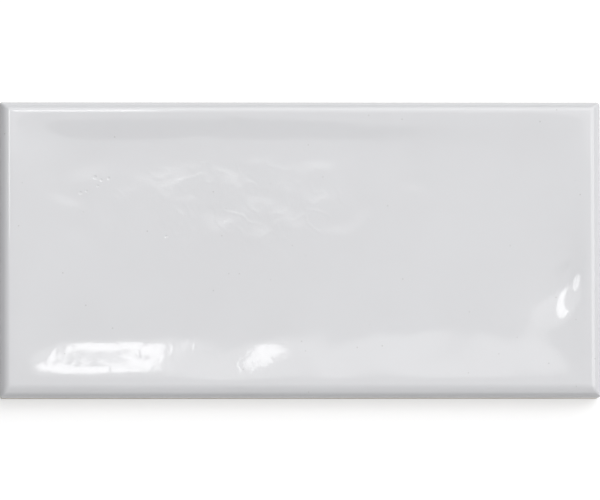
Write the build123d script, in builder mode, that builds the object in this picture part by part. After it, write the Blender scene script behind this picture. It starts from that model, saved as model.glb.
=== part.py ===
"""Glazed ceramic wall tile with rolled edges and a hollowed, softly waved face.

Millimetres. The tile lies on its back: X runs along its length, Y across it and Z up
through the glazed face. The origin is the middle of the back.
"""

import math
import os

from build123d import *

# Outline of the pressed body
tile_length = 132.0
tile_width = 65.0
rim_height = 8.3  # from the back to the crest of the rim
corner_radius = 0.8  # seen from above
back_chamfer = 0.4  # along the lower edges

# Rolled edge and flat crest of the rim
edge_radius = 2.4
rim_land = 0.6

# Hollow of the face: its depth, and how far its sides take to reach the floor
hollow_depth = 0.42
left_slope = 12.5
right_slope = 11.0
near_slope = 11.5
far_slope = 8.4
corner_blend = 0.5  # how round the hollow's own corners are, as a share of a slope
floor_blend = 0.45  # how softly a side runs into the floor, as a share of a slope

# Waves of the face: place as a share of the half face, half length and half width
# along their own axes, turn in degrees, and height
waves = [
    (-0.74, -0.69, 16.0, 4.6, 2.0, -0.15),
    (-0.22, -0.83, 12.0, 5.8, 60.0, -0.24),
    (0.91, -0.22, 9.5, 5.4, 54.0, -0.34),
    (0.48, -0.54, 9.0, 4.0, 50.0, -0.05),
    (0.13, -0.88, 7.0, 4.0, 70.0, -0.04),
]
wave_fade = 0.3  # share of a slope over which the waves fade in from the rim
sample_pitch = 2.0  # spacing of the points that carry the face

# Key grooves of the back, which hold the adhesive, inside a plain border
groove_width = 4.0
groove_depth = 0.7
groove_pitch = 9.0
back_border = 5.0

rim_width = edge_radius + rim_land
half_face_length = tile_length / 2 - rim_width
half_face_width = tile_width / 2 - rim_width
groove_length = tile_length - 2 * back_border
groove_count = 1 + int((tile_width - 2 * back_border - groove_width) / groove_pitch)


def soft_min(a, b, blend):
    """The smaller of two values, rounded off where they are about equal."""
    return (a + b - math.sqrt((a - b) ** 2 + blend**2)) / 2


def inward_share(x, y):
    """How far a point lies down the hollow's nearest side: 0 at the rim, 1 at the floor."""
    along = soft_min((half_face_length + x) / left_slope, (half_face_length - x) / right_slope, corner_blend)
    across = soft_min((half_face_width + y) / near_slope, (half_face_width - y) / far_slope, corner_blend)
    return soft_min(along, across, corner_blend)


def wave_height(x, y):
    """Sum of the low swells and hollows that make the face look hand made."""
    total = 0.0
    for place_x, place_y, half_length, half_width, turn, height in waves:
        dx = x - place_x * half_face_length
        dy = y - place_y * half_face_width
        c = math.cos(math.radians(turn))
        s = math.sin(math.radians(turn))
        u = (dx * c + dy * s) / half_length
        v = (dy * c - dx * s) / half_width
        total += height * math.exp(-u * u - v * v)
    return total


def face_height(x, y):
    """Height of the glazed face above the back, running on past the rim above the crest."""
    share = inward_share(x, y)
    sunk = soft_min(share, 1.0, floor_blend) - soft_min(0.0, 1.0, floor_blend)
    fade = 1 / (1 + math.exp(-(share - wave_fade) / (wave_fade / 5)))
    return rim_height - hollow_depth * sunk + fade * wave_height(x, y)


def spread(half_span):
    """Evenly spaced places from one side to the other, about a sample pitch apart."""
    steps = math.ceil(2 * half_span / sample_pitch)
    return [half_span * (2 * i / steps - 1) for i in range(steps + 1)]


glaze_face = Face.make_surface_from_array_of_points(
    [
        [(x, y, face_height(x, y)) for y in spread(tile_width / 2 + rim_land)]
        for x in spread(tile_length / 2 + rim_land)
    ],
    tol=0.002,
    min_deg=3,
    max_deg=5,
)

# Body: a pressed slab with rolled upper edges, its face hollowed and its back grooved
with BuildPart() as tile:
    with BuildSketch():
        RectangleRounded(tile_length, tile_width, corner_radius)
    extrude(amount=rim_height)
    chamfer(tile.faces().sort_by(Axis.Z)[0].edges(), length=back_chamfer)
    fillet(tile.faces().sort_by(Axis.Z)[-1].edges(), radius=edge_radius)
    split(bisect_by=glaze_face, keep=Keep.BOTTOM)
    with BuildSketch():
        with GridLocations(0, groove_pitch, 1, groove_count):
            SlotOverall(groove_length, groove_width)
    extrude(amount=groove_depth, mode=Mode.SUBTRACT)

tile.part.label = "tile"
os.makedirs("parts", exist_ok=True)
export_step(tile.part, "parts/tile.step")
print("tile volume, cubic millimetres:", round(tile.part.volume, 1))
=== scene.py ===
# %% [markdown]
# # A glazed wall tile, seen from above
#
# The object is one pressed and fired ceramic tile. Nearly all of its look is in its glaze: a
# white gloss coat over a face that is slightly hollowed, with a soft raised rim and low waves
# left by hand making. We build the whole tile as one closed surface worked out with numpy, give
# it two finishes, and light it so that the waves show as they do on a real tile: by what they
# reflect.
#
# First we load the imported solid. It fixes the tile's size and place, and everything below takes
# its sizes from it.

# %% Load the frame
import math

import bpy
import numpy as np
from mathutils import Matrix, Vector


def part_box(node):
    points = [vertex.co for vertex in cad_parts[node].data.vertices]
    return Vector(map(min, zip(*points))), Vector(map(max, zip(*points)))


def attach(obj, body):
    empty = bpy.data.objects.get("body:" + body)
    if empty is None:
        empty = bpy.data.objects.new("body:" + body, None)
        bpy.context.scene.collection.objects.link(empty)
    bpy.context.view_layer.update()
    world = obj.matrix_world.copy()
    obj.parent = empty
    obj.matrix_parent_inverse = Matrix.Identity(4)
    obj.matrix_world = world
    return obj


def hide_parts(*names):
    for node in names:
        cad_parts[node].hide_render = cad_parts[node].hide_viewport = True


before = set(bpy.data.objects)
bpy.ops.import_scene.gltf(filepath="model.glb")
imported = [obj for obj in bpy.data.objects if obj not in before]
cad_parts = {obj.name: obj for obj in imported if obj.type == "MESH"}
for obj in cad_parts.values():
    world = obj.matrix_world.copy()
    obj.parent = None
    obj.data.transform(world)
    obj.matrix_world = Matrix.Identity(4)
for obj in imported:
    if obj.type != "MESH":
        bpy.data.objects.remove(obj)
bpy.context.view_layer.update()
mm = 0.001

low, high = (np.array(corner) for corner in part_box("tile"))
half_length, half_width = high[0], high[1]
top = high[2]
print("tile, mm:", np.round((high - low) / mm, 2))

# %% [markdown]
# ## The camera
#
# The tile is seen almost square on, through a long lens. Its left and near sides show as a thin
# dark line and the other two don't, so the camera leans a few degrees to the near left. The tile
# is widest where its rolled edge turns into its side, so that level fills the picture from left
# to right.

# %% Hang the camera
roll_drop = 2.4 * mm
widest_level = top - roll_drop
camera_distance = 2.4
lean_left, lean_near = math.radians(2.5), math.radians(4.5)
sensor = 36.0
picture_fill = 1.003

camera_data = bpy.data.cameras.new("camera")
camera_data.sensor_width = sensor
camera_data.lens = picture_fill * sensor * camera_distance / (2 * half_length)
camera_data.clip_end = 20.0
camera = bpy.data.objects.new("camera", camera_data)
towards_camera = Vector((-math.tan(lean_left), -math.tan(lean_near), 1)).normalized()
camera.location = Vector((0, 0, widest_level)) + camera_distance * towards_camera
picture_up = towards_camera.cross(Vector((1, 0, 0))).normalized()
picture_right = picture_up.cross(towards_camera)
camera.rotation_euler = Matrix((picture_right, picture_up, towards_camera)).transposed().to_euler()
bpy.context.scene.collection.objects.link(camera)
bpy.context.scene.camera = camera
print("lens, mm:", round(camera_data.lens, 1))

# %% [markdown]
# ## The rolled edge
#
# The upper edges of a pressed tile are rounded over, and the glaze makes them rounder still. On
# this tile the roll is a little wider along the near edge than elsewhere. Its section is a
# quarter of an ellipse: level where it leaves the rim, upright where it meets the side. A
# formula for how far the surface drops lets one grid carry the face and all four rolls, which a
# bevel on a box would not.

# %% Roll the edges over
roll_width = {"left": 2.5 * mm, "right": 2.3 * mm, "near": 2.6 * mm, "far": 1.9 * mm}
roll_power = 2.0
mitre_power = 7.0


def gaps(x, y):
    """Distance of a point from each of the tile's four edges."""
    along = {"left": half_length + x, "right": half_length - x}
    across = {"near": half_width + y, "far": half_width - y}
    return along | across


def roll(x, y):
    """Drop of the rolled edges.

    With t going from 0 where a roll starts to 1 at the edge, one roll drops by
    roll_drop * (1 - sqrt(1 - t ** roll_power)). Where two rolls meet, a high power mean
    takes the larger one, which makes a soft mitre.
    """
    total = 0.0
    for side, gap in gaps(x, y).items():
        t = np.clip(1 - gap / roll_width[side], 0, 1)
        total = total + (1 - np.sqrt(1 - t**roll_power)) ** mitre_power
    return roll_drop * np.minimum(total ** (1 / mitre_power), 1)


# %% [markdown]
# ## The hollow of the face
#
# Inside the rim the face sinks by less than half a millimetre, down a short side to a nearly
# flat floor. The side facing the light catches it, and the opposite side stays dull: this is
# most of what the eye reads as a hand-made tile. The side is a cubic in s, which runs from 0 at
# the rim to 1 at the floor. It starts with a slight angle at the rim and ends level.

# %% Hollow the face
hollow_depth = 0.42 * mm
rim_land = {"left": 0.45 * mm, "right": 0.45 * mm, "near": 0.95 * mm, "far": 0.45 * mm}
side_run = {"left": 12.5 * mm, "right": 11.0 * mm, "near": 11.5 * mm, "far": 8.4 * mm}
far_side_widens = 3.1 * mm  # towards the right end
widens_from, widens_over = -0.3, 1.2  # shares of the half length
corner_blend = 0.25
rim_angle = 0.7
floor_blend = 0.3


def soft_min(a, b, blend):
    """The smaller of two values, rounded off where they are about equal."""
    return (a + b - np.sqrt((a - b) ** 2 + blend**2)) / 2


def smooth_step(s):
    """0 below 0, 1 above 1, and 3 s squared minus 2 s cubed between."""
    s = np.clip(s, 0, 1)
    return s * s * (3 - 2 * s)


def inward_share(x, y):
    """How far a point lies down the hollow's nearest side: 0 at the rim, 1 at the floor."""
    widened = smooth_step((x / half_length - widens_from) / widens_over)
    runs = side_run | {"far": side_run["far"] + far_side_widens * widened}
    inward = {side: gap - roll_width[side] - rim_land[side] for side, gap in gaps(x, y).items()}
    s = {side: inward[side] / runs[side] for side in inward}
    along = soft_min(s["left"], s["right"], corner_blend)
    across = soft_min(s["near"], s["far"], corner_blend)
    return soft_min(along, across, corner_blend)


def hollow(s):
    """Depth below the rim: a cubic that starts at rim_angle and is level where s stops at 1."""
    s = np.maximum(soft_min(np.maximum(s, 0), 1.0, floor_blend), 0)
    square = 3 - 2 * rim_angle
    cube = rim_angle - 2
    return hollow_depth * (rim_angle * s + square * s**2 + cube * s**3)


# %% [markdown]
# ## Waves and ripples
#
# Low swells and dips a few millimetres across break up the reflections of the lamps. Each is a
# bell curve that is longer along one direction. The ones that shape a highlight are placed one by
# one. Smaller ripples are many such bells scattered at random, from fixed seeds: a patch left
# of the middle, some along the near side, fine ones in the long dip at its left, and a few
# everywhere.

# %% Wave the face
# place, half length, half width, turn in degrees, height
waves = [
    (-46.5 * mm, -20.4 * mm, 16.0 * mm, 4.6 * mm, 2, -0.157 * mm),
    (-13.2 * mm, -24.0 * mm, 13.5 * mm, 5.4 * mm, 48, -0.205 * mm),
    (58.2 * mm, -7.8 * mm, 9.5 * mm, 4.2 * mm, 44, -0.300 * mm),
    (57.5 * mm, -1.0 * mm, 11.0 * mm, 6.5 * mm, 46, -0.160 * mm),
    (30.0 * mm, -16.0 * mm, 9.0 * mm, 4.0 * mm, 50, -0.050 * mm),
    (8.5 * mm, -26.0 * mm, 7.0 * mm, 4.0 * mm, 70, -0.040 * mm),
]
# seed, count, middle, spread, shortest and longest half length, steepness
ripples = [
    (156, 90, (-20.0 * mm, 8.0 * mm), (17.0 * mm, 6.0 * mm), (2.0 * mm, 5.0 * mm), 0.0082),
    (15, 60, (20.0 * mm, -20.0 * mm), (26.0 * mm, 5.0 * mm), (3.0 * mm, 8.0 * mm), 0.005),
    (24, 60, (-46.0 * mm, -24.0 * mm), (8.0 * mm, 3.0 * mm), (1.4 * mm, 3.0 * mm), 0.003),
    (13, 260, (0.0, 0.0), (40.0 * mm, 18.0 * mm), (1.5 * mm, 4.0 * mm), 0.0022),
]
waves_from, waves_over = -0.05, 0.45  # shares of the way down the hollow's side
ripple_slimness = 0.5
ripple_turn = 40
steepest_bell = math.sqrt(2 / math.e)


def bell(x, y, middle_x, middle_y, reach_u, reach_v, turn, height):
    """height * exp(-u squared - v squared), with u and v along and across the bell's own axis."""
    c, s = math.cos(math.radians(turn)), math.sin(math.radians(turn))
    u = ((x - middle_x) * c + (y - middle_y) * s) / reach_u
    v = ((y - middle_y) * c - (x - middle_x) * s) / reach_v
    return height * np.exp(-u * u - v * v)


def scattered_bells(x, y, seed, count, middle, spread, sizes, steepness):
    """Sum of bells at random places about a middle, up or down, all equally steep."""
    draws = np.random.default_rng(seed)
    total = np.zeros_like(x)
    for _ in range(count):
        place_x, place_y = np.array(middle) + np.array(spread) * draws.normal(size=2)
        reach = draws.uniform(*sizes)
        height = draws.choice([-1, 1]) * steepness * reach * ripple_slimness / steepest_bell
        turn = draws.normal(0, ripple_turn)
        total += bell(x, y, place_x, place_y, reach, reach * ripple_slimness, turn, height)
    return total


def face_height(x, y):
    """Height of the glazed face: the rim, less the roll and the hollow, plus waves and ripples.

    Waves and ripples fade in from the rim and never rise above it.
    """
    s = inward_share(x, y)
    relief = sum(bell(x, y, *wave) for wave in waves)
    relief = relief + sum(scattered_bells(x, y, *group) for group in ripples)
    inside = smooth_step((s - waves_from) / waves_over)
    return top - roll(x, y) - np.maximum(hollow(s) - inside * relief, 0)


# %% [markdown]
# ## One grid for the whole tile
#
# The face and the back are the same grid of lines, so the sides can be rings between their
# borders and the tile closes without a seam. Lines crowd together through the rolls, where the
# surface turns fastest. The plan's corners are rounded by a mapping that turns a small square
# into a quarter disc.

# %% Lay out the grid
corner_radius = 0.8 * mm
cells_in_roll = {"left": 13, "right": 13, "near": 16, "far": 12}
cells_along, cells_across = 222, 148


def grid_lines(half_span, first, last, cells):
    """Places of the grid's lines: even steps of angle through a roll, of length between rolls."""
    angles = [np.linspace(0, math.pi / 2, cells_in_roll[side] + 1) for side in (first, last)]
    start = roll_width[first] * np.sin(angles[0]) ** (2 / roll_power)
    end = roll_width[last] * np.sin(angles[1]) ** (2 / roll_power)
    inner = np.linspace(roll_width[first] - half_span, half_span - roll_width[last], cells + 1)
    return np.concatenate([(inner[0] - start[1:])[::-1], inner, inner[-1] + end[1:]])


def plan(x_lines, y_lines, inset=0.0):
    """Grid of places seen from above, drawn in by inset, with its corners rounded.

    In a corner square, a and b run from 0 to 1 towards the edges. They become
    a * sqrt(1 - b squared / 2) and b * sqrt(1 - a squared / 2), so the square's two outer
    sides become one quarter circle.
    """
    inner_x = x_lines * (1 - inset / half_length)
    inner_y = y_lines * (1 - inset / half_width)
    x, y = np.meshgrid(inner_x, inner_y, indexing="ij")
    radius = corner_radius - inset
    corner_x, corner_y = half_length - corner_radius, half_width - corner_radius
    a = np.clip((np.abs(x) - corner_x) / radius, 0, 1)
    b = np.clip((np.abs(y) - corner_y) / radius, 0, 1)
    round_x = np.where(a > 0, np.sign(x) * (corner_x + radius * a * np.sqrt(1 - b * b / 2)), x)
    round_y = np.where(b > 0, np.sign(y) * (corner_y + radius * b * np.sqrt(1 - a * a / 2)), y)
    return round_x, round_y


x_lines = grid_lines(half_length, "left", "right", cells_along)
y_lines = grid_lines(half_width, "near", "far", cells_across)
flat_x, flat_y = np.meshgrid(x_lines, y_lines, indexing="ij")
face_x, face_y = plan(x_lines, y_lines)
face = np.stack([face_x, face_y, face_height(flat_x, flat_y)], axis=-1)
face_range = [face[..., 2].min() / mm, face[..., 2].max() / mm]
print("face grid:", face.shape[:2], "height, mm:", np.round(face_range, 3))

# %% [markdown]
# ## The back
#
# The photograph doesn't show the back. Pressed wall tiles have shallow grooves there, which the
# adhesive keys into. The solid has them as long slots inside a plain border, and the same slots
# are pressed into this grid, with walls that lean a little so that the tile leaves its mould.

# %% Groove the back
back_chamfer = 0.4 * mm
glaze_thickness = 0.15 * mm
back_border = 5.0 * mm
groove_width, groove_depth, groove_pitch = 4.0 * mm, 0.7 * mm, 9.0 * mm
groove_draft = 0.5 * mm
groove_count = 1 + int((2 * half_width - 2 * back_border - groove_width) / groove_pitch)


def groove_height(x, y):
    """Depth of the slots, from each place's distance to the nearest slot's middle line."""
    middle = (groove_count - 1) / 2
    nearest = np.clip(np.round(y / groove_pitch + middle), 0, groove_count - 1) - middle
    reach = half_length - back_border - groove_width / 2
    past_end = np.maximum(np.abs(x) - reach, 0)
    inside = groove_width / 2 - np.hypot(past_end, y - nearest * groove_pitch)
    return groove_depth * smooth_step(inside / groove_draft)


back_x, back_y = plan(x_lines, y_lines, back_chamfer + glaze_thickness)
back = np.stack([back_x, back_y, groove_height(back_x, back_y)], axis=-1)
print("grooves:", groove_count, "depth, mm:", round(back[..., 2].max() / mm, 2))

# %% [markdown]
# ## The sides
#
# Glaze runs over the edge and stops part of the way down in a thick, uneven lip, because the
# lower side is wiped clean before firing. Below the lip the bare clay shows. Each ring of the
# side is the grid's border drawn in by some distance at some height, and the lip's height
# wanders along the border.

# %% Ring the sides
glaze_line = 5.2 * mm
glaze_wander = 0.3 * mm
lip_height = 0.25 * mm
glazed_shares = (0.75, 0.5, 0.25, 0.08)  # of the way up from the lip to the widest level
bare_shares = (1, 0.6, 0.2, 0)  # of the way up from the chamfer to the lip


def border(grid):
    """The grid's outer places, once round counter-clockwise from the near left corner."""
    return np.concatenate([grid[:-1, 0], grid[-1, :-1], grid[:0:-1, -1], grid[0, :0:-1]])


def ring(inset, height):
    """The tile's outline drawn in by inset, at the given heights."""
    x, y = plan(x_lines, y_lines, inset)
    outline = border(np.stack([x, y], axis=-1))
    return np.column_stack([outline, np.broadcast_to(height, len(outline))])


def wander(x, y, seed, count, shortest, longest):
    """Sum of cosine waves of random length, direction and phase, scaled to run from about -1 to 1."""
    draws = np.random.default_rng(seed)
    total = np.zeros_like(x)
    for _ in range(count):
        number = 2 * math.pi / draws.uniform(shortest, longest)
        heading, phase = draws.uniform(0, math.pi), draws.uniform(0, 2 * math.pi)
        total += np.cos(number * (x * math.cos(heading) + y * math.sin(heading)) + phase)
    return total / math.sqrt(2 * count)


outline = border(face)
lip = glaze_line + glaze_wander * wander(outline[:, 0], outline[:, 1], 21, 6, 14 * mm, 60 * mm)
glazed_rings = [ring(0.0, lip + share * (widest_level - lip)) for share in glazed_shares]
glazed_rings += [ring(0.2 * glaze_thickness, lip), ring(0.7 * glaze_thickness, lip - 0.6 * lip_height)]
bare_height = lip - lip_height - back_chamfer
bare_rings = [ring(glaze_thickness, back_chamfer + share * bare_height) for share in bare_shares]
print("glaze lip, mm:", np.round([lip.min() / mm, lip.max() / mm], 2))

# %% [markdown]
# ## The closed mesh
#
# The face, the rings and the back are now stacked into one list of places, and every four
# neighbours become a face. The back is the same grid seen from the other side, so its faces turn
# the other way round. Each face's material number says whether it is glazed.

# %% Close the tile
def grid_faces(numbers):
    """Four neighbours of a grid of vertex numbers, counter-clockwise."""
    corners = [numbers[:-1, :-1], numbers[1:, :-1], numbers[1:, 1:], numbers[:-1, 1:]]
    return np.stack(corners, axis=-1).reshape(-1, 4)


def ring_faces(upper, lower):
    """Four neighbours between two rings of vertex numbers, facing outwards."""
    return np.column_stack([upper, lower, np.roll(lower, -1), np.roll(upper, -1)])


rings = np.array(glazed_rings + bare_rings)
face_numbers = np.arange(face[..., 0].size).reshape(face.shape[:2])
ring_numbers = face_numbers.size + np.arange(rings[..., 0].size).reshape(rings.shape[:2])
back_numbers = face_numbers + face_numbers.size + ring_numbers.size

places = np.concatenate([face.reshape(-1, 3), rings.reshape(-1, 3), back.reshape(-1, 3)])
levels = [border(face_numbers), *ring_numbers, border(back_numbers)]
bands = [ring_faces(upper, lower) for upper, lower in zip(levels, levels[1:])]
glazed = np.concatenate([grid_faces(face_numbers)] + bands[: len(glazed_rings) + 1])
bare = np.concatenate(bands[len(glazed_rings) + 1 :] + [grid_faces(back_numbers)[:, ::-1]])
quads = np.concatenate([glazed, bare])

mesh = bpy.data.meshes.new("glazed_tile")
mesh.from_pydata(places, [], quads)
mesh.polygons.foreach_set("material_index", np.repeat([0, 1], [len(glazed), len(bare)]))
mesh.shade_smooth()
mesh.set_sharp_from_angle(angle=math.radians(38))
mesh.update()
tile = bpy.data.objects.new("glazed_tile", mesh)
bpy.context.scene.collection.objects.link(tile)
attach(tile, "root")
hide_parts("tile")
print("triangles:", 2 * len(quads))

# %% [markdown]
# ## Two effects that both finishes share
#
# Glaze and clay both vary in cloudy patches, and both carry stray specks. Each effect is a node
# group with its own settings, so the two finishes can use it at different scales.

# %% Make the shared node groups
def start_group(name, inputs, output):
    """A new node group with number inputs and one number output; returns it with its two end nodes."""
    group = bpy.data.node_groups.new(name, "ShaderNodeTree")
    for label in inputs:
        group.interface.new_socket(label, in_out="INPUT", socket_type="NodeSocketFloat")
    group.interface.new_socket(output, in_out="OUTPUT", socket_type="NodeSocketFloat")
    return group, group.nodes.new("NodeGroupInput"), group.nodes.new("NodeGroupOutput")


def add_node(tree, kind, links=None, **settings):
    """A node with its settings made and its inputs linked or set, by name or number."""
    node = tree.nodes.new(kind)
    for label, value in settings.items():
        setattr(node, label, value)
    for label, value in (links or {}).items():
        if isinstance(value, bpy.types.NodeSocket):
            tree.links.new(value, node.inputs[label])
        else:
            node.inputs[label].default_value = value
    return node


def clouds_group():
    """Cloudy patches from 0 to 1: fractal noise, with its middle range stretched."""
    group, start, end = start_group("clouds", ["Scale", "Detail"], "Value")
    place = add_node(group, "ShaderNodeTexCoord").outputs["Object"]
    noise = add_node(
        group,
        "ShaderNodeTexNoise",
        {"Vector": place, "Scale": start.outputs["Scale"], "Detail": start.outputs["Detail"]},
    )
    spread = add_node(
        group, "ShaderNodeMapRange", {"Value": noise.outputs["Fac"], "From Min": 0.3, "From Max": 0.7}
    )
    group.links.new(spread.outputs["Result"], end.inputs["Value"])
    return group


def specks_group():
    """Small round specks: 1 near the middle of some cells of a Voronoi pattern, 0 elsewhere."""
    group, start, end = start_group("specks", ["Scale", "Size", "Share"], "Mask")
    place = add_node(group, "ShaderNodeTexCoord").outputs["Object"]
    cells = add_node(group, "ShaderNodeTexVoronoi", {"Vector": place, "Scale": start.outputs["Scale"]})
    chance = add_node(group, "ShaderNodeSeparateColor", {"Color": cells.outputs["Color"]})
    chosen = add_node(
        group,
        "ShaderNodeMath",
        {0: chance.outputs["Red"], 1: start.outputs["Share"]},
        operation="LESS_THAN",
    )
    inner = add_node(group, "ShaderNodeMath", {0: start.outputs["Size"], 1: 0.5}, operation="MULTIPLY")
    spot = add_node(
        group,
        "ShaderNodeMapRange",
        {
            "Value": cells.outputs["Distance"],
            "From Min": start.outputs["Size"],
            "From Max": inner.outputs["Value"],
        },
    )
    mask = add_node(
        group,
        "ShaderNodeMath",
        {0: spot.outputs["Result"], 1: chosen.outputs["Value"]},
        operation="MULTIPLY",
    )
    group.links.new(mask.outputs["Value"], end.inputs["Mask"])
    return group


clouds = clouds_group()
specks = specks_group()
print("node groups:", clouds.name, specks.name)

# %% [markdown]
# ## The white glaze
#
# The glaze is a thick clear gloss with a fine white in it. It varies by a hair in tone, has a few
# pinholes and dark specks, and gets thin and warmer where it rolls over the edge. A very fine
# bump stands for the slight orange peel of a fired glaze. A net of low ridges, a few thousandths
# of a millimetre high, stands for threads that crept as the glaze melted. They are finer than the
# grid, so they are bumps too; the waves and ripples themselves are in the mesh.

# %% Mix the glaze
def start_material(name):
    """A material with a Principled shader; returns the material, its tree and that shader."""
    material = bpy.data.materials.new(name)
    material.use_nodes = True
    return material, material.node_tree, material.node_tree.nodes["Principled BSDF"]


def use_group(tree, group, **values):
    """A placed group with its inputs set; returns its one output."""
    node = add_node(tree, "ShaderNodeGroup", node_tree=group)
    for label, value in values.items():
        node.inputs[label].default_value = value
    return node.outputs[0]


def mix_colour(tree, share, first, second):
    """Colour that goes from the first to the second as share goes from 0 to 1."""
    node = add_node(tree, "ShaderNodeMix", data_type="RGBA")
    for number, value in zip((0, 6, 7), (share, first, second)):
        if isinstance(value, bpy.types.NodeSocket):
            tree.links.new(value, node.inputs[number])
        else:
            node.inputs[number].default_value = value
    return node.outputs[2]


def scaled(tree, value, factor):
    """A value times a plain number."""
    return add_node(tree, "ShaderNodeMath", {0: value, 1: factor}, operation="MULTIPLY").outputs[0]


def height_share(tree, bottom, upper):
    """0 at one height above the back and 1 at another."""
    place = add_node(tree, "ShaderNodeTexCoord").outputs["Object"]
    z = add_node(tree, "ShaderNodeSeparateXYZ", {"Vector": place}).outputs["Z"]
    share = add_node(tree, "ShaderNodeMapRange", {"Value": z, "From Min": bottom, "From Max": upper})
    return share.outputs["Result"]


def oval_share(tree, middle, reach):
    """1 well inside an oval patch, falling to 0 at its edge."""
    place = add_node(tree, "ShaderNodeTexCoord").outputs["Object"]
    offset = add_node(tree, "ShaderNodeVectorMath", {0: place, 1: middle}, operation="SUBTRACT")
    shares = add_node(
        tree, "ShaderNodeVectorMath", {0: offset.outputs[0], 1: reach}, operation="DIVIDE"
    )
    length = add_node(tree, "ShaderNodeVectorMath", {0: shares.outputs[0]}, operation="LENGTH")
    share = add_node(
        tree,
        "ShaderNodeMapRange",
        {"Value": length.outputs["Value"], "From Min": 1.0, "From Max": 0.4},
        interpolation_type="SMOOTHSTEP",
    )
    return share.outputs["Result"]


def thread_net(tree, scale, width):
    """A net of low ridges: 1 where a noise is at its middle value, 0 where it is width off it."""
    place = add_node(tree, "ShaderNodeTexCoord").outputs["Object"]
    noise = add_node(tree, "ShaderNodeTexNoise", {"Vector": place, "Scale": scale, "Detail": 1.0})
    level = add_node(tree, "ShaderNodeMath", {0: noise.outputs["Fac"], 1: 0.5}, operation="SUBTRACT")
    away = add_node(tree, "ShaderNodeMath", {0: level.outputs[0]}, operation="ABSOLUTE")
    ridge = add_node(
        tree,
        "ShaderNodeMapRange",
        {"Value": away.outputs[0], "From Min": width, "From Max": 0.0},
        interpolation_type="SMOOTHSTEP",
    )
    return ridge.outputs["Result"]


glaze_white = (0.685, 0.685, 0.699, 1)
glaze_cloud = (0.700, 0.701, 0.716, 1)
glaze_thin = (0.560, 0.535, 0.480, 1)
speck_grey = (0.300, 0.290, 0.270, 1)
thin_from, thin_to, thin_share = top - 1.1 * roll_drop, top - 2.2 * roll_drop, 0.6
speck_share = 0.35

floor_of_face = top - hollow_depth
# middle and reach of each patch of threads, and their height
thread_patches = [
    ((-15.0 * mm, 8.5 * mm, floor_of_face), (38.0 * mm, 15.0 * mm, 5.0 * mm), 0.007 * mm),
    ((-30.0 * mm, -24.0 * mm, floor_of_face), (46.0 * mm, 8.0 * mm, 5.0 * mm), 0.0035 * mm),
]
thread_scale, thread_width = 190, 0.09

pinhole_depth = 0.03 * mm
# place and radius
pinholes = [
    (-45.0 * mm, 15.8 * mm, 0.55 * mm),
    (-43.6 * mm, 15.2 * mm, 0.40 * mm),
    (-42.0 * mm, 15.6 * mm, 0.45 * mm),
    (-44.4 * mm, 13.9 * mm, 0.35 * mm),
    (-48.2 * mm, 12.4 * mm, 0.50 * mm),
    (-46.9 * mm, 12.8 * mm, 0.35 * mm),
    (-29.4 * mm, 2.8 * mm, 0.40 * mm),
]

glaze, tree, shader = start_material("white_glaze")
tone = mix_colour(tree, use_group(tree, clouds, Scale=55, Detail=3), glaze_white, glaze_cloud)
thin = scaled(tree, height_share(tree, thin_from, thin_to), thin_share)
tone = mix_colour(tree, thin, tone, glaze_thin)
dark = scaled(tree, use_group(tree, specks, Scale=286, Size=0.06, Share=0.6), speck_share)
tone = mix_colour(tree, dark, tone, speck_grey)
tree.links.new(tone, shader.inputs["Base Color"])

satin = use_group(tree, clouds, Scale=180, Detail=2)
gloss = add_node(tree, "ShaderNodeMapRange", {"Value": satin, "To Min": 0.045, "To Max": 0.060})
tree.links.new(gloss.outputs["Result"], shader.inputs["Roughness"])

peel = use_group(tree, clouds, Scale=450, Detail=1)
bump = add_node(tree, "ShaderNodeBump", {"Height": peel, "Strength": 1.0, "Distance": 0.0008 * mm})
threads = thread_net(tree, thread_scale, thread_width)
for middle, reach, height in thread_patches:
    share = oval_share(tree, middle, reach)
    raised = add_node(tree, "ShaderNodeMath", {0: threads, 1: share}, operation="MULTIPLY").outputs[0]
    so_far = bump.outputs["Normal"]
    bump = add_node(
        tree,
        "ShaderNodeBump",
        {"Height": raised, "Strength": 1.0, "Distance": height, "Normal": so_far},
    )
place = add_node(tree, "ShaderNodeTexCoord").outputs["Object"]
for x, y, radius in pinholes:
    reach = add_node(
        tree, "ShaderNodeVectorMath", {0: place, 1: (x, y, floor_of_face)}, operation="DISTANCE"
    ).outputs["Value"]
    dimple = add_node(
        tree,
        "ShaderNodeMapRange",
        {"Value": reach, "From Min": radius, "From Max": 0.3 * radius},
        interpolation_type="SMOOTHSTEP",
    ).outputs["Result"]
    so_far = bump.outputs["Normal"]
    bump = add_node(
        tree,
        "ShaderNodeBump",
        {"Height": dimple, "Strength": 1.0, "Distance": pinhole_depth, "Normal": so_far},
        invert=True,
    )
tree.links.new(bump.outputs["Normal"], shader.inputs["Normal"])
mesh.materials.append(glaze)
print("glaze nodes:", len(tree.nodes))

# %% [markdown]
# ## The bare clay
#
# The lower sides and the back are unglazed biscuit: a cream, chalky, slightly sandy clay with
# darker grains. It is dull all over, so its look is in its grain and its cloudy colour.

# %% Mix the clay
clay_cream = (0.640, 0.560, 0.450, 1)
clay_pale = (0.740, 0.675, 0.575, 1)
grain_brown = (0.330, 0.240, 0.160, 1)
grain_share = 0.7

clay, tree, shader = start_material("bare_clay")
tone = mix_colour(tree, use_group(tree, clouds, Scale=90, Detail=6), clay_cream, clay_pale)
grain = scaled(tree, use_group(tree, specks, Scale=700, Size=0.32, Share=0.12), grain_share)
tone = mix_colour(tree, grain, tone, grain_brown)
tree.links.new(tone, shader.inputs["Base Color"])
shader.inputs["Roughness"].default_value = 0.9
shader.inputs["Specular IOR Level"].default_value = 0.25
sand = use_group(tree, clouds, Scale=1500, Detail=4)
bump = add_node(tree, "ShaderNodeBump", {"Height": sand, "Strength": 0.6, "Distance": 0.06 * mm})
tree.links.new(bump.outputs["Normal"], shader.inputs["Normal"])
mesh.materials.append(clay)
print("clay nodes:", len(tree.nodes))

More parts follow.
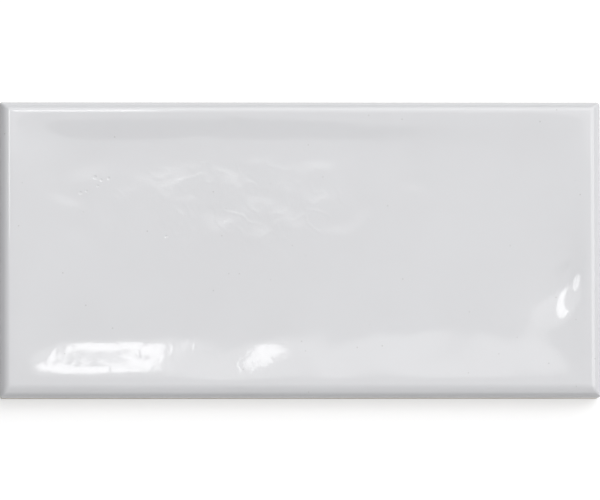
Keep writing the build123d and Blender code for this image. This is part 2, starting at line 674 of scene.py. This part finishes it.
# %% [markdown]
# ## The floor
#
# The tile lies on a plain pale floor. The camera, and whatever the glaze or a lens would show of
# the floor, get a little extra light from it, so that it reads as white paper while it still
# takes the tile's soft shadow and sends only its own plain light back to the tile. From below it
# is clear, and it is left open under the tile, so that the tile's back can be seen and lit.

# %% Lay the floor
floor_half = 3.0
floor_level = -0.02 * mm  # clear of the tile's back
hole_inset = 1.0 * mm
floor_grey = (0.50, 0.50, 0.50, 1)
floor_lift = 0.60

floor_mesh = bpy.data.meshes.new("floor")
corner_signs = np.array([(-1, -1), (1, -1), (1, 1), (-1, 1)])
hole_corners = corner_signs * (half_length - hole_inset, half_width - hole_inset)
floor_plan = np.concatenate([corner_signs * floor_half, hole_corners])
floor_places = np.column_stack([floor_plan, np.full(len(floor_plan), floor_level)])
floor_quads = [(i, (i + 1) % 4, (i + 1) % 4 + 4, i + 4) for i in range(4)]
floor_mesh.from_pydata(floor_places, [], floor_quads)
floor = bpy.data.objects.new("floor", floor_mesh)
bpy.context.scene.collection.objects.link(floor)

paper, tree, shader = start_material("pale_floor")
shader.inputs["Base Color"].default_value = floor_grey
shader.inputs["Roughness"].default_value = 1.0
shader.inputs["Specular IOR Level"].default_value = 0.0
rays = add_node(tree, "ShaderNodeLightPath")
seen = rays.outputs["Is Camera Ray"]
for kind in ("Is Glossy Ray", "Is Transmission Ray"):
    either = add_node(tree, "ShaderNodeMath", {0: seen, 1: rays.outputs[kind]}, operation="MAXIMUM")
    seen = either.outputs[0]
lift = add_node(tree, "ShaderNodeEmission", {"Strength": scaled(tree, seen, floor_lift)})
both = add_node(tree, "ShaderNodeAddShader", {0: shader.outputs[0], 1: lift.outputs[0]})
below = add_node(tree, "ShaderNodeNewGeometry").outputs["Backfacing"]
clear = add_node(tree, "ShaderNodeBsdfTransparent")
surface = add_node(tree, "ShaderNodeMixShader", {0: below, 1: both.outputs[0], 2: clear.outputs[0]})
tree.links.new(surface.outputs[0], tree.nodes["Material Output"].inputs["Surface"])
floor_mesh.materials.append(paper)

# %% [markdown]
# ## The lamps
#
# What the glaze shows is where its lamps are, so they are placed by what they do. A wide ceiling
# panel reaches from just before the camera to far behind it: the floor of the hollow mirrors it,
# and the far side, which leans towards the viewer, mirrors the dark before it. The panel gets
# brighter in steps further back, which lights the near side. A small bright window left of the
# camera, partly behind a blind, makes the sharp highlights, and a short strip draws the line
# along the left rim. A large soft box at the far right models the edges, and a weak lamp in front
# lifts the near one. A box below the floor lights only the back. A dim even world fills the rest.

# %% Hang the lamps
ceiling = 1.22
layer = 0.01  # lamps in one plane would hide each other
mirrored_x, mirrored_y = ceiling * math.tan(lean_left), ceiling * math.tan(lean_near)


def soft_lamp(name, centre, size, radiance, target=None):
    """A rectangular lamp of the given brightness, facing straight down or towards a target."""
    data = bpy.data.lights.new(name, "AREA")
    data.shape = "RECTANGLE"
    data.size, data.size_y = size
    data.energy = radiance * math.pi * size[0] * size[1]
    lamp = bpy.data.objects.new(name, data)
    lamp.location = centre
    if target is not None:
        aim = np.array(target) - np.array(centre)
        lamp.rotation_euler = (math.acos(-aim[2] / np.linalg.norm(aim)), 0, math.atan2(-aim[0], aim[1]))
    lamp.visible_camera = False
    bpy.context.scene.collection.objects.link(lamp)


def ceiling_lamp(name, left, right, near, far, layers_up, radiance):
    """A lamp on the ceiling, with its edges measured from where a level face mirrors the camera."""
    middle_x, middle_y = mirrored_x + (left + right) / 2, mirrored_y + (near + far) / 2
    centre = (middle_x, middle_y, ceiling + layers_up * layer)
    soft_lamp(name, centre, (right - left, far - near), radiance)


window_left, window_right = -108 * mm, -50 * mm
window_near, window_far = 64 * mm, 200 * mm
blind_right, blind_near = -64 * mm, 126 * mm
window_radiance, blind_radiance = 5.8, 0.7
ceiling_lamp("window", window_left, window_right, window_near, blind_near, 0, window_radiance)
ceiling_lamp("open_sash", blind_right, window_right, blind_near, window_far, 0, window_radiance)
ceiling_lamp("blind", window_left, blind_right, blind_near, window_far, 0, blind_radiance)
strip_left, strip_right = -440 * mm, -270 * mm
strip_near, strip_far = 5 * mm, 95 * mm
strip_radiance = 4.5
ceiling_lamp("left_strip", strip_left, strip_right, strip_near, strip_far, 0, strip_radiance)
panel_reach, panel_end = 0.5, 0.45
panel_steps = [(48 * mm, 0.5), (33 * mm, 0.9), (-84 * mm, 1.1)]  # near edge, added radiance
for number, (near, radiance) in enumerate(panel_steps):
    ceiling_lamp(f"panel_{number}", -panel_reach, panel_reach, near, panel_end, number + 1, radiance)
soft_lamp("side_box", (2.0, 2.0, 3.0), (4.6, 4.6), 2.48, target=(0, 0, 0))
soft_lamp("front_fill", (0.6, -2.6, 1.6), (3.0, 2.0), 1.0, target=(0, 0, 0))
soft_lamp("under_box", (0.5, -2.4, -1.0), (1.6, 1.0), 8.0, target=(0, 0, 0))

world = bpy.data.worlds.new("world")
world.use_nodes = True
world.node_tree.nodes["Background"].inputs["Color"].default_value = (0.97, 0.98, 1.0, 1)
world.node_tree.nodes["Background"].inputs["Strength"].default_value = 0.18
bpy.context.scene.world = world
bpy.context.scene.view_settings.view_transform = "Standard"
